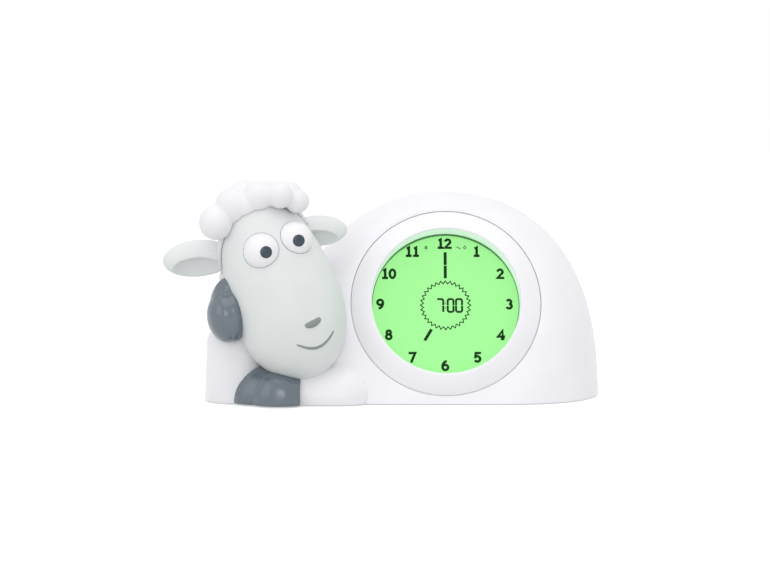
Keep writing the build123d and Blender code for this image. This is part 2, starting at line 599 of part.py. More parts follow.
# ------------------------------------------------------------------ rear panel
def push_button(u, v, radius):
    top = BUTTON_PROUD - PANEL_DEPTH
    cap = Pos(0, 0, (top + FLANGE_TOP) / 2) * Cylinder(radius, top - FLANGE_TOP)
    cap = fillet(cap.edges().sort_by(Axis.Z)[-1], 0.6)
    cap += disc(Pos(0, 0, 0), 0, 0, radius + BUTTON_FLANGE, FLANGE_TOP, FLANGE_TOP - FLANGE_T)
    cap += disc(Pos(0, 0, 0), 0, 0, STEM_R, FLANGE_TOP - FLANGE_T, STEM_END)
    return REAR * Pos(u, v, 0) * cap


def lock_slider():
    """Child-lock knob with grip ribs, its hidden plate and the pin that moves the switch."""
    u, v = LOCK_AT
    u -= LOCK_TRAVEL / 2
    width, height = LOCK_KNOB
    top = BUTTON_PROUD - PANEL_DEPTH
    knob = block(REAR, u, v, width, height, top - 0.5, FLANGE_TOP)
    for k in (-1, 0, 1):
        knob += block(REAR, u + k * 1.6, v, 0.8, height, top, top - 0.5)
    knob += block(REAR, u, v, width + 5, height + 3, FLANGE_TOP, FLANGE_TOP - FLANGE_T)
    return knob + block(REAR, u, v, 1.6, 1.6, FLANGE_TOP - FLANGE_T, -7.5)


def slide_switch():
    u, v = LOCK_AT
    case = block(REAR, u, v, 12, 5, PLUNGER_TOP, KEY_BOARD_TOP)
    return case - block(REAR, u, v, 1.6 + LOCK_TRAVEL + 2 * RUN, 1.6 + 2 * RUN, 0, KEY_BOARD_TOP + 1)


def tact_switches():
    switches = Part()
    for u, v, _ in BUTTONS.values():
        switches += block(REAR, u, v, TACT_SIZE, TACT_SIZE, KEY_BOARD_TOP + TACT_T, KEY_BOARD_TOP)
        switches += disc(REAR, u, v, 1.7, PLUNGER_TOP, KEY_BOARD_TOP + TACT_T)
    return switches


def speaker():
    place = REAR * Pos(*SPEAKER_AT, 0)
    return turned(place, [(0, FLANGE_TOP - 0.6), (SPEAKER_R - 3, FLANGE_TOP - 0.2), (SPEAKER_R, FLANGE_TOP),
                          (SPEAKER_R, -3.9), (11, -3.9), (8, -7.6), (8, -11), (0, -11)])


def speaker_retainer():
    place = REAR * Pos(*SPEAKER_AT, 0)
    clamp = disc(place, 0, 0, SPEAKER_R + 2.4, FLANGE_TOP, -5.4)
    clamp -= disc(place, 0, 0, SPEAKER_R + FIT, 0, -3.9)
    return clamp - disc(place, 0, 0, 11.4, 0, -6)


def power_socket():
    """Micro-USB receptacle: flat steel shell, contact tongue inside."""
    u, v = SOCKET_AT
    width, height = SOCKET_SIZE
    wall = 0.35
    shell = block(REAR, u, v, width, height, SOCKET_END, KEY_BOARD_TOP)
    shell -= block(REAR, u, v, width - 2 * wall, height - 2 * wall, 0, KEY_BOARD_TOP + 2.0)
    return shell + block(REAR, u, v - 0.3, width - 2.6, 0.7, SOCKET_END - 0.8, KEY_BOARD_TOP + 2.0)


# ------------------------------------------------------------------ screws
def housing_screws():
    screws = []
    for x, z in HOUSING_SCREWS:
        place = Pos(x, parting_y(z) + SEAT_BEHIND_PARTING, z) * Rot(-90, 0, 0)
        screws.append(screw(place, SEAT_BEHIND_PARTING + 8))
    return Part() + screws


def base_screws():
    screws = []
    for x, y in BASE_SCREWS:
        screws.append(screw(Pos(x, y, BASE_Z + 1.2) * Rot(180, 0, 0), 9) & above(BASE_Z))
    return Part() + screws


def head_screws():
    return Part() + [screw(Pos(x, HEAD_SEAT_Y, z) * Rot(-90, 0, 0), 12) for x, z in HEAD_SCREWS]


def board_screws():
    screws = Part()
    for turn in EAR_SCREW_TURNS:
        place = FRONT * Pos(*on_circle(EAR_SCREW_R, turn), -EAR_TOP - EAR_T) * Rot(180, 0, 0)
        screws += screw(place, 6)
    for u, v in MAIN_POSTS:
        screws += screw(FRONT * Pos(u, v, -MAIN_BOARD_DEPTH - KEY_BOARD_T) * Rot(180, 0, 0), 5)
    for u, v in KEY_POSTS:
        screws += screw(REAR * Pos(u, v, KEY_BOARD_TOP - KEY_BOARD_T) * Rot(180, 0, 0), 5)
    return screws


# ------------------------------------------------------------------ assembly
outer, inner = body(0), body(WALL)
front_shell, rear_shell = shells(outer, inner)
save("front_shell", front_shell)
save("rear_shell", rear_shell)
save("base_plate", base_plate())
save("battery_door", battery_door(body(0), body(WALL)))
save("rubber_feet", rubber_feet())

save("face_shell", face_shell())
ear_left = ear(EAR_LEFT_AT, EAR_LEFT_RADII, EAR_LEFT_TILT, 180, egg(0))
ear_right = ear(EAR_RIGHT_AT, EAR_RIGHT_RADII, EAR_RIGHT_TILT, 0, egg(0))
hoof_raised = hoof_up(egg(0), body(0))
save("ear_left", ear_left)
save("ear_right", ear_right)
save("hoof_raised", hoof_raised)
save("hoof_lying", hoof_down(egg(0), body(0)))
save("wool_cap", wool_form() - egg(0) - ear_left - ear_right - hoof_raised - body(0))
for side in EYE_TURNS:
    eye, pupil = eye_and_pupil(side, egg(0))
    save(f"eye_{side}", eye)
    save(f"pupil_{side}", pupil)

save("face_ring", face_ring())
for name, piece in display_stack().items():
    save(name, piece)
save("display_holder", display_holder())
save("lcd_ribbon", lcd_ribbon())
for name, piece in main_board_parts().items():
    save(name, piece)

for name, (u, v, radius) in BUTTONS.items():
    save(f"{name}_button", push_button(u, v, radius))
save("lock_slider", lock_slider())
save("slide_switch", slide_switch())
save("tact_switches", tact_switches())
save("key_board", board_with_holes(REAR, KEY_BOARD_AT, KEY_BOARD_SIZE, KEY_POSTS, KEY_BOARD_TOP, KEY_BOARD_T))
save("speaker", speaker())
save("speaker_retainer", speaker_retainer())
save("power_socket", power_socket())

contact_plates, contact_springs = bay_contacts()
save("aa_cells", aa_cells())
save("contact_plates", contact_plates)
save("contact_springs", contact_springs)

save("housing_screws", housing_screws())
save("base_screws", base_screws())
save("head_screws", head_screws())
save("board_screws", board_screws())
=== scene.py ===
"""Looks of a bedside alarm clock with a night light, in the form of a resting lamb.

Metres, +Z up, front towards -Y, lamb's head at -X, standing on z = 0.
"""
import json
import math

import bmesh
import bpy
import numpy as np
from mathutils import Matrix, Vector


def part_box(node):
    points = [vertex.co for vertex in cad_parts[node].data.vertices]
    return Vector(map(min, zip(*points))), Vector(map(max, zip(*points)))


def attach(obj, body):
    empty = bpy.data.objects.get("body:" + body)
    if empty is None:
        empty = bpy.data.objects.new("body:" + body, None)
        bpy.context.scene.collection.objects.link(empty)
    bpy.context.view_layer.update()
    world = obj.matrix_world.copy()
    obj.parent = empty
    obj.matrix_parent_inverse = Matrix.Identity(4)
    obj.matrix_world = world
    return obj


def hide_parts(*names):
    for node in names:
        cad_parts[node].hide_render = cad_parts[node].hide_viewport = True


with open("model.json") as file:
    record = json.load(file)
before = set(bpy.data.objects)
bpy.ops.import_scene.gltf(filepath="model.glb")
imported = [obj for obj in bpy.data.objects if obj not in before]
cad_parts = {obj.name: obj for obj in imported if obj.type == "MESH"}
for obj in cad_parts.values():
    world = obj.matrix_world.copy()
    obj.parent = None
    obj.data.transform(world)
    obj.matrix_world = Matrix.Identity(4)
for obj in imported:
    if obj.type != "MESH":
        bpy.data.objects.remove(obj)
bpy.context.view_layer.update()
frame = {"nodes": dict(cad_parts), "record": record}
nodes = frame["nodes"]
slot_of = {row["node"]: row["material_slot"] for row in frame["record"]["subparts"]}

MM = 0.001
CLOCK = "clock"                 # the body that everything fixed rides on

# Camera: level with the wool, looking slightly down at the dial
CAMERA_AT = (0.0001, -0.9179, 0.119)
CAMERA_DOWN = math.radians(4.0)
LENS, SENSOR = 85.0, 36.0

# Light
WORLD_LIGHT = 0.82
PANELS = [  # name, place, aimed at, width, height, power in watts
    ("light_top", (0.1, -0.35, 1.3), (0.0, 0.0, 0.05), 1.4, 1.2, 4.2),
    ("light_left", (-1.2, -0.9, 0.7), (0.0, 0.0, 0.05), 1.0, 1.0, 2.3),
    ("light_front", (0.05, -1.9, 0.6), (0.0, 0.0, 0.05), 0.8, 0.6, 3.7),
]
FLOOR_COLOUR, FLOOR_GLOW, FLOOR_ROUGHNESS = 0.74, 0.48, 0.9
FLOOR_SIZE, FLOOR_BACK = 12.0, 3.0
FLOOR_DROP = 0.02               # mm below the feet, so that the two don't share a plane

# Surfaces: how coarse the mottling and the uneven polish are, and how far they go
NOISE_MIDDLE = (0.3, 0.7)
PATCH_SCALE, POLISH_SCALE = 45.0, 160.0
POLISH_RANGE = (0.88, 1.12)
LENS_ALPHA = 0.015
MASK_GREEN = (0.02, 0.16, 0.07)
GLOW_SIDEWAYS = 0.1

# Strokes: the smallest cosine that a mitred corner is stretched for. Beads: the root's height in mm,
# the shoulders as a share of the half-width, the crown as a share of the lift
SHARPEST_MITRE = 0.5
BEAD_ROOT, BEAD_SHOULDER, BEAD_CROWN = -0.3, 0.92, 1.25

# Dial, leaning back; its marks are in mm from the panel's middle
DIAL_LEAN = math.radians(18.5)
DIAL_SHIFT_UP = 0.5
NUMERALS_MIDDLE, NUMERALS_REACH = (-0.37, 0.23), (32.35, 31.45)
NUMERAL_WIDTH, NUMERAL_HEIGHT, NUMERAL_STROKE = 5.35, 4.8, 1.3
HAND_WIDTH, DIGIT_STROKE, SUN_STROKE, SIGN_STROKE = 1.55, 1.05, 0.5, 0.45
MARK_THICKNESS = 0.05
ROUND_SIDES = 160               # of the film, the skin of painted glow and the gasket
FILM_RADIUS, FILM_THICKNESS = 37.4, 0.012
# Skin on the recess wall that carries a painted glow of the backlight falling on it
GLOW_SKIN_FRONT, GLOW_SKIN_BACK = (36.78, 9.4), (37.0, 0.1)     # radius, and height above the lens
GLOW_SKIN_THICKNESS = 0.06
GASKET_RADIUS, GASKET_WIDTH = 36.75, 0.5
GASKET_EDGE = 37.0
# Painted shadow of the recess's ceiling: arcs that widen the gasket's line at the top
GASKET_SHADOW_ARCS = [(62, 0.7), (50, 0.9), (38, 1.1)]          # half of its turn in degrees, and width

# Lamb's head: an egg standing on the chin and leaning to the left; millimetres
CHIN = Vector((-35.6, -27.9, 12.9)) * MM
HEAD_ROLL = math.radians(19.0)
HEAD_RADIUS, HEAD_BELOW, HEAD_ABOVE = 27.4, 35.0, 62.0
EYE_HEIGHT, EYE_REACH, EYE_RADIUS = 67.5, 20.4, 8.8
EYE_TURNS = {"left": -4.0, "right": 46.0}
# Seam round each eye, dark as painted contact shade: its radius in mm, steps round it, and halvings
EYE_SEAM, EYE_SEAM_STEPS, EYE_SEAM_HALVINGS = 0.16, 72, 24

# Marks on the face: their turn and their reach to either side in degrees, the rest in mm
FACE_TURN, FACE_LIFT = 24, 0.16
FACE_STEPS = 16                 # along each mark
NOSE_HEIGHT, NOSE_REACH, NOSE_TILT, NOSE_HALF_WIDTH = 27.5, 9.5, 0.4, 2.3
NOSE_BLUNT = 0.02               # keeps the ends from running to a point
SMILE_HEIGHT, SMILE_REACH, SMILE_RISE = 15.5, 24, 4.4
SMILE_END, SMILE_SWELL = 0.35, 0.7      # half-width at the ends, and what the middle adds

# Lobes of the raised hoof: outer and inner toe, and the fuller part above and behind them;
# middle and half-sizes in mm, lean in degrees
RAISED_HOOF = [((-76.8, -36.0, 44.2), (9.8, 13.0, 12.9), -4.0),
               ((-73.3, -37.0, 44.6), (6.6, 11.0, 12.9), 0.0),
               ((-77.0, -33.0, 49.0), (8.6, 11.0, 14.2), 6.0)]
HOOF_VOXEL, HOOF_ROUNDS = 0.4, 5

# Rear panel, leaning forward: its middle, and the top of its buttons above the land around them
REAR_MIDDLE = Vector((30.4, 49.05, 51.31)) * MM
REAR_LEAN = math.radians(10.0)
BUTTON_TOP = 0.5
SYMBOL_STROKE = 0.55

# Underside: screws and the battery door
UNDERSIDE = 0.6
BASE_SCREWS = [(6.1, -25.4), (58.1, -24.9), (-9.9, 51.1), (66.1, 50.1), (-81.1, 8.1), (103.6, 6.1)]
REAR_SCREWS = [(90.1, 28.4, 24.0), (-61.9, 28.4, 24.0), (-23.9, 33.7, 74.0), (78.1, 33.7, 74.0)]
CROSS_HALF, CROSS_STROKE = 1.4, 0.6
DOOR_X = 28.1
GRIP_ROWS, GRIP_Y, GRIP_STEP, GRIP_HALF = 5, 38.0, 2.4, 9.0
GRIP_HALF_WIDTH, GRIP_BLUNT, GRIP_LIFT, GRIP_POINTS = 0.55, 0.05, 0.3, 12


# ------------------------------------------------------------------ camera, lights, floor
def link(obj):
    bpy.context.scene.collection.objects.link(obj)
    return obj


def make_camera():
    data = bpy.data.cameras.new("camera")
    data.lens = LENS
    data.sensor_width = SENSOR
    camera = link(bpy.data.objects.new("camera", data))
    camera.location = CAMERA_AT
    camera.rotation_euler = (math.pi / 2 - CAMERA_DOWN, 0, 0)
    bpy.context.scene.camera = camera


def make_lights():
    for name, place, target, width, height, power in PANELS:
        data = bpy.data.lights.new(name, "AREA")
        data.shape = "RECTANGLE"
        data.size, data.size_y = width, height
        data.energy = power
        lamp = link(bpy.data.objects.new(name, data))
        lamp.location = place
        lamp.rotation_euler = (Vector(target) - Vector(place)).to_track_quat("-Z", "Y").to_euler()


def seen_directly(tree):
    """A value of 1 for camera, mirror and glass rays, so that they all see the white backdrop."""
    path = tree.nodes.new("ShaderNodeLightPath")
    either = tree.nodes.new("ShaderNodeMath")
    either.operation = "MAXIMUM"
    tree.links.new(path.outputs["Is Camera Ray"], either.inputs[0])
    tree.links.new(path.outputs["Is Glossy Ray"], either.inputs[1])
    clear = tree.nodes.new("ShaderNodeMath")
    clear.operation = "MAXIMUM"
    tree.links.new(either.outputs[0], clear.inputs[0])
    tree.links.new(path.outputs["Is Transmission Ray"], clear.inputs[1])
    return clear.outputs[0]


def make_world():
    world = bpy.data.worlds.new("studio")
    bpy.context.scene.world = world
    world.use_nodes = True
    tree = world.node_tree
    background = tree.nodes["Background"]
    background.inputs["Color"].default_value = (1, 1, 1, 1)
    strength = tree.nodes.new("ShaderNodeMapRange")
    strength.inputs["To Min"].default_value = WORLD_LIGHT
    strength.inputs["To Max"].default_value = 1.0
    tree.links.new(seen_directly(tree), strength.inputs["Value"])
    tree.links.new(strength.outputs["Result"], background.inputs["Strength"])


def make_floor():
    """White paper floor that keeps the contact shadow and runs into the white backdrop."""
    bpy.ops.mesh.primitive_plane_add(size=FLOOR_SIZE, location=(0, FLOOR_BACK, -FLOOR_DROP * MM))
    floor = bpy.context.object
    floor.name = "floor"
    material = bpy.data.materials.new("floor_paper")
    material.use_nodes = True
    tree = material.node_tree
    bsdf = tree.nodes["Principled BSDF"]
    bsdf.inputs["Base Color"].default_value = (FLOOR_COLOUR, FLOOR_COLOUR, FLOOR_COLOUR, 1)
    bsdf.inputs["Roughness"].default_value = FLOOR_ROUGHNESS
    bsdf.inputs["Specular IOR Level"].default_value = 0.0
    bsdf.inputs["Emission Color"].default_value = (1, 1, 1, 1)
    strength = tree.nodes.new("ShaderNodeMath")
    strength.operation = "MULTIPLY"
    strength.inputs[1].default_value = FLOOR_GLOW
    tree.links.new(seen_directly(tree), strength.inputs[0])
    tree.links.new(strength.outputs[0], bsdf.inputs["Emission Strength"])
    floor.data.materials.append(material)


# ------------------------------------------------------------------ materials
def linear(red, green, blue):
    """Scene-linear colour of an 8-bit display colour."""
    values = [c / 255 for c in (red, green, blue)]
    return tuple(c / 12.92 if c <= 0.04045 else ((c + 0.055) / 1.055) ** 2.4 for c in values)


def noise(tree, scale, detail=2.0, stretch=(1, 1, 1)):
    place = tree.nodes.new("ShaderNodeTexCoord")
    mapping = tree.nodes.new("ShaderNodeMapping")
    mapping.inputs["Scale"].default_value = stretch
    texture = tree.nodes.new("ShaderNodeTexNoise")
    texture.inputs["Scale"].default_value = scale
    texture.inputs["Detail"].default_value = detail
    tree.links.new(place.outputs["Object"], mapping.inputs["Vector"])
    tree.links.new(mapping.outputs["Vector"], texture.inputs["Vector"])
    return texture.outputs["Fac"]


def vary(tree, value, low, high):
    """The noise's middle range mapped onto low to high."""
    spread = tree.nodes.new("ShaderNodeMapRange")
    spread.interpolation_type = "SMOOTHSTEP"
    spread.inputs["From Min"].default_value = NOISE_MIDDLE[0]
    spread.inputs["From Max"].default_value = NOISE_MIDDLE[1]
    spread.inputs["To Min"].default_value = low
    spread.inputs["To Max"].default_value = high
    tree.links.new(value, spread.inputs["Value"])
    return spread.outputs["Result"]


def blend_colours(tree, factor, first, second):
    mix = tree.nodes.new("ShaderNodeMix")
    mix.data_type = "RGBA"
    mix.inputs["A"].default_value = (*first, 1)
    mix.inputs["B"].default_value = (*second, 1)
    tree.links.new(factor, mix.inputs["Factor"])
    return mix.outputs["Result"]


def bump(tree, bsdf, height, depth):
    relief = tree.nodes.new("ShaderNodeBump")
    relief.inputs["Distance"].default_value = depth
    tree.links.new(height, relief.inputs["Height"])
    tree.links.new(relief.outputs["Normal"], bsdf.inputs["Normal"])


def surface(name, colour, roughness, grain=2600.0, depth=6e-6, mottle=0.015, metallic=0.0,
            specular=0.5, stretch=(1, 1, 1)):
    """Moulded or drawn surface: slight mottling, uneven polish and a fine grain."""
    material = bpy.data.materials.new(name)
    material.use_nodes = True
    tree = material.node_tree
    bsdf = tree.nodes["Principled BSDF"]
    bsdf.inputs["Metallic"].default_value = metallic
    bsdf.inputs["Specular IOR Level"].default_value = specular
    patches = vary(tree, noise(tree, PATCH_SCALE), 0.0, 1.0)
    darker = tuple(c * (1 - mottle) for c in colour)
    lighter = tuple(min(1.0, c * (1 + mottle)) for c in colour)
    tree.links.new(blend_colours(tree, patches, darker, lighter), bsdf.inputs["Base Color"])
    smoother, rougher = (roughness * share for share in POLISH_RANGE)
    polish = vary(tree, noise(tree, POLISH_SCALE, stretch=stretch), smoother, rougher)
    tree.links.new(polish, bsdf.inputs["Roughness"])
    bump(tree, bsdf, noise(tree, grain, detail=3.0, stretch=stretch), depth)
    return material


def shine(material, glow):
    """Lets the backlight shine out of a material, while little of it lights what stands beside."""
    tree = material.node_tree
    bsdf = tree.nodes["Principled BSDF"]
    path = tree.nodes.new("ShaderNodeLightPath")
    strength = tree.nodes.new("ShaderNodeMapRange")
    strength.inputs["To Min"].default_value = 1.0
    strength.inputs["To Max"].default_value = GLOW_SIDEWAYS
    tree.links.new(path.outputs["Is Diffuse Ray"], strength.inputs["Value"])
    tree.links.new(strength.outputs["Result"], bsdf.inputs["Emission Strength"])
    bsdf.inputs["Emission Color"].default_value = (*glow, 1)
    return material


def glowing(name, colour, glow):
    """A matt surface that glows evenly: the backlight shining through print, and painted glow where it
    stands for backlight falling on the recess wall and the gasket.
    """
    return shine(surface(name, colour, 0.7, specular=0.1), glow)


def lcd_material():
    """Backlit panel: even green with faint bands where the light guide brightens it."""
    unlit, dim, bright = (0.1, 0.27, 0.09), (0.286, 0.715, 0.24), (0.29, 0.725, 0.244)
    material = shine(surface("lcd_green", unlit, 0.5, mottle=0.005, specular=0.1), (0, 0, 0))
    tree = material.node_tree
    bands = vary(tree, noise(tree, 60.0, detail=1.0, stretch=(1, 0.2, 0.15)), 0.0, 1.0)
    glow = blend_colours(tree, bands, dim, bright)
    tree.links.new(glow, tree.nodes["Principled BSDF"].inputs["Emission Color"])
    return material


def lens_material():
    material = surface("lens_clear", (1, 1, 1), 0.12, depth=1e-6, mottle=0.0, specular=0.3)
    material.node_tree.nodes["Principled BSDF"].inputs["Alpha"].default_value = LENS_ALPHA
    return material


def board_material():
    """Green solder mask with paler tracks in straight runs."""
    material = surface("solder_mask", MASK_GREEN, 0.35)
    tree = material.node_tree
    place = tree.nodes.new("ShaderNodeTexCoord")
    tracks = tree.nodes.new("ShaderNodeTexBrick")
    tracks.inputs["Scale"].default_value = 260.0
    tracks.inputs["Mortar Size"].default_value = 0.06
    tracks.inputs["Color1"].default_value = (*MASK_GREEN, 1)
    tracks.inputs["Color2"].default_value = (0.025, 0.19, 0.08, 1)
    tracks.inputs["Mortar"].default_value = (0.06, 0.3, 0.12, 1)
    tree.links.new(place.outputs["Object"], tracks.inputs["Vector"])
    tree.links.new(tracks.outputs["Color"], tree.nodes["Principled BSDF"].inputs["Base Color"])
    return material


MATERIALS = {
    "white_abs": surface("white_abs", (0.878, 0.871, 0.905), 0.38),
    "ring_abs": surface("ring_abs", (0.885, 0.878, 0.912), 0.34),
    "grey_abs": surface("grey_abs", (0.75, 0.775, 0.77), 0.42, depth=9e-6),
    "dark_abs": surface("dark_abs", linear(98, 110, 120), 0.2, depth=2e-6, mottle=0.02, specular=0.8),
    "pupil_ink": surface("pupil_ink", linear(50, 64, 76), 0.3),
    "foot_rubber": surface("foot_rubber", (0.27, 0.28, 0.29), 0.85, grain=1500.0, depth=2e-5),
    "clear_lens": lens_material(),
    "lcd_glass": lcd_material(),
    "light_guide_acrylic": surface("light_guide", (0.8, 0.86, 0.8), 0.5),
    "holder_abs": surface("holder_abs", (0.7, 0.7, 0.7), 0.55),
    "circuit_board": board_material(),
    "led_body": surface("led_body", (0.82, 0.82, 0.7), 0.4),
    "flex_film": surface("flex_film", (0.42, 0.17, 0.03), 0.3),
    "chip_black": surface("chip_black", (0.02, 0.02, 0.022), 0.5, grain=1800.0, depth=1.5e-5),
    "header_nylon": surface("header_nylon", (0.72, 0.7, 0.6), 0.5),
    "steel_bright": surface("steel_bright", (0.62, 0.62, 0.6), 0.22, metallic=1.0, stretch=(1, 1, 12)),
    "cell_jacket": surface("cell_jacket", (0.3, 0.31, 0.34), 0.3, metallic=1.0, stretch=(1, 12, 1)),
    "screw_steel": surface("screw_steel", (0.5, 0.5, 0.5), 0.3, metallic=1.0),
    "button_abs": surface("button_abs", (0.42, 0.46, 0.49), 0.45),
}
PRINT_DARK = surface("print_dark", linear(3, 58, 8), 0.8, specular=0.0)
PRINT_FAINT = glowing("print_faint", linear(60, 110, 60), linear(70, 110, 65))
# Dark gasket line with a painted green glow of the backlight on it
GASKET_PAINTED_GLOW = glowing("gasket", linear(70, 120, 70), linear(60, 110, 60))
# Painted light: the backlight's green glow on the recess wall, as a pale green glowing skin
RECESS_PAINTED_GLOW = glowing("recess_painted_glow", linear(220, 240, 224), linear(150, 176, 156))
INK_GREY = surface("ink_grey", linear(138, 147, 146), 0.5)
INK_WHITE = surface("ink_white", (0.85, 0.86, 0.87), 0.5)
# Painted contact shade along the seams round the eyes
SEAM_SHADE = surface("seam_shade", linear(120, 124, 130), 0.8)
WOOL_WHITE = surface("wool_white", (0.85, 0.844, 0.876), 0.42)
# Painted shade of the screws' cross recesses, on flat strokes
SCREW_RECESS_SHADE = surface("screw_recess_shade", (0.05, 0.05, 0.055), 0.5, metallic=0.6)


# Soft-edged pieces that stand for the lamb's moulded ones: node, new name, voxel in mm, rounds, material
SOFT_PIECES = [("wool_cap", "wool", 0.8, 4, WOOL_WHITE), ("ear_left", "left_ear", 0.4, 8, None),
               ("ear_right", "right_ear", 0.4, 8, None), ("hoof_lying", "lying_hoof", 0.4, 8, None)]


def dress(obj, material):
    obj.data.materials.clear()
    obj.data.materials.append(material)


# ------------------------------------------------------------------ mesh tools
def piece(name, verts, faces, material, body, smooth=True):
    """A new piece of the object from its points and faces."""
    mesh = bpy.data.meshes.new(name)
    mesh.from_pydata([tuple(v) for v in verts], [], faces)
    bm = bmesh.new()
    bm.from_mesh(mesh)
    bmesh.ops.recalc_face_normals(bm, faces=bm.faces)
    bm.to_mesh(mesh)
    bm.free()
    for polygon in mesh.polygons:
        polygon.use_smooth = smooth
    obj = link(bpy.data.objects.new(name, mesh))
    dress(obj, material)
    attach(obj, body)
    return obj


def softened(mesh, name, node, voxel, rounds, material=None):
    """A shape for a node: the mesh remeshed, its creases eased by a few rounds of smoothing."""
    copy = link(bpy.data.objects.new(name, mesh))
    remesh = copy.modifiers.new("remesh", "REMESH")
    remesh.mode = "VOXEL"
    remesh.voxel_size = voxel * MM
    remesh.use_smooth_shade = True
    smooth = copy.modifiers.new("smooth", "SMOOTH")
    smooth.factor = 0.5
    smooth.iterations = rounds
    bpy.context.view_layer.update()
    shape = bpy.data.meshes.new_from_object(copy.evaluated_get(bpy.context.evaluated_depsgraph_get()))
    copy.modifiers.clear()
    copy.data = shape
    slot = slot_of[node]
    dress(copy, material or MATERIALS[slot])
    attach(copy, CLOCK)
    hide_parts(node)


def ribbon(verts, faces, path, width, place, closed=False):
    """Adds a flat stroke of constant width with mitred joints; place(u, v, rise) puts it on a surface."""
    points = [np.array(p, float) for p in path]
    if closed and np.allclose(points[0], points[-1]):
        points.pop()
    count = len(points)
    first = len(verts)
    for k, point in enumerate(points):
        before = points[k - 1] if closed or k else point
        after = points[(k + 1) % count] if closed or k < count - 1 else point
        inward, outward = point - before, after - point
        inward = inward / (np.linalg.norm(inward) or 1)
        outward = outward / (np.linalg.norm(outward) or 1)
        along = inward + outward
        along = along / np.linalg.norm(along)
        across = np.array([-along[1], along[0]])
        run = inward if k or closed else outward
        stretch = 1 / max(SHARPEST_MITRE, abs(float(np.dot(along, run))))
        for side in (1, -1):
            u, v = point + across * side * width / 2 * stretch
            verts.append(place(u, v, 0.0))
            verts.append(place(u, v, MARK_THICKNESS))
    for k in range(count if closed else count - 1):
        a, b = first + 4 * k, first + 4 * ((k + 1) % count)
        faces += [(a, b, b + 1, a + 1), (a + 2, a + 3, b + 3, b + 2), (a + 1, b + 1, b + 3, a + 3),
                  (a, a + 2, b + 2, b)]
    if not closed:
        last = first + 4 * (count - 1)
        faces += [(first, first + 1, first + 3, first + 2), (last, last + 2, last + 3, last + 1)]


def printed(name, strokes, width, place, material, body):
    """Flat strokes on a surface; a stroke that ends where it starts is closed."""
    verts, faces = [], []
    for stroke in strokes:
        ribbon(verts, faces, stroke, width, place, closed=math.dist(stroke[0], stroke[-1]) < 1e-6)
    return piece(name, verts, faces, material, body, smooth=False)


def raised(verts, faces, centres, normals, half_widths, lift):
    """Adds a rounded bead along a line of points in metres; half_widths and lift are in mm."""
    profile = [(BEAD_ROOT, 1), (lift, BEAD_SHOULDER), (lift * BEAD_CROWN, 0), (lift, -BEAD_SHOULDER),
               (BEAD_ROOT, -1)]
    count, corners = len(centres), len(profile)
    first = len(verts)
    for k in range(count):
        along = centres[min(k + 1, count - 1)] - centres[max(k - 1, 0)]
        across = along.cross(normals[k]).normalized() * half_widths[k] * MM
        for rise, side in profile:
            verts.append(centres[k] + across * side + normals[k] * rise * MM)
    for k in range(count - 1):
        for j in range(corners - 1):
            a, b = first + corners * k + j, first + corners * (k + 1) + j
            faces.append((a, b, b + 1, a + 1))
    for end in (first, first + corners * (count - 1)):
        faces.append(tuple(end + j for j in range(corners)))


def closed_tube(name, points, radius, material, body):
    """Thin round bead along a closed line of points in metres."""
    verts, faces = [], []
    sides, count = 6, len(points)
    first = None
    for k, point in enumerate(points):
        along = (points[(k + 1) % count] - points[k - 1]).normalized()
        if first is None:
            first = along.orthogonal().normalized()
        else:
            first = (first - along * first.dot(along)).normalized()
        second = along.cross(first)
        for j in range(sides):
            turn = 2 * math.pi * j / sides
            verts.append(point + (first * math.cos(turn) + second * math.sin(turn)) * radius * MM)
    for k in range(count):
        for j in range(sides):
            a, b = sides * k, sides * ((k + 1) % count)
            faces.append((a + j, a + (j + 1) % sides, b + (j + 1) % sides, b + j))
    return piece(name, verts, faces, material, body)


# ------------------------------------------------------------------ dial
lcd_low, lcd_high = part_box("lcd_panel")
DIAL_UP = Vector((0, math.sin(DIAL_LEAN), math.cos(DIAL_LEAN)))
DIAL_OUT = Vector((0, -math.cos(DIAL_LEAN), math.sin(DIAL_LEAN)))
LCD_HALF = 1.1 * MM
PRINT_LIFT, LENS_FRONT = 0.02, 1.22     # mm in front of the panel
DIAL_MIDDLE = (Vector(lcd_low) + Vector(lcd_high)) / 2 + DIAL_OUT * LCD_HALF


def on_dial(u, v, lift):
    return DIAL_MIDDLE + Vector((u * MM, 0, 0)) + DIAL_UP * (v + DIAL_SHIFT_UP) * MM + DIAL_OUT * lift * MM


def on_glass(u, v, lift):
    """A place just in front of the panel, for its printed and switched marks."""
    return on_dial(u, v, lift + PRINT_LIFT)


def on_lens(u, v, lift):
    """A place above the lens's front, from the middle of the round panel."""
    return on_dial(u, v - DIAL_SHIFT_UP, lift + LENS_FRONT)


def arc(cx, cy, rx, ry, start, end, steps=14):
    return [(cx + rx * math.cos(math.radians(start + (end - start) * k / steps)),
             cy + ry * math.sin(math.radians(start + (end - start) * k / steps))) for k in range(steps + 1)]


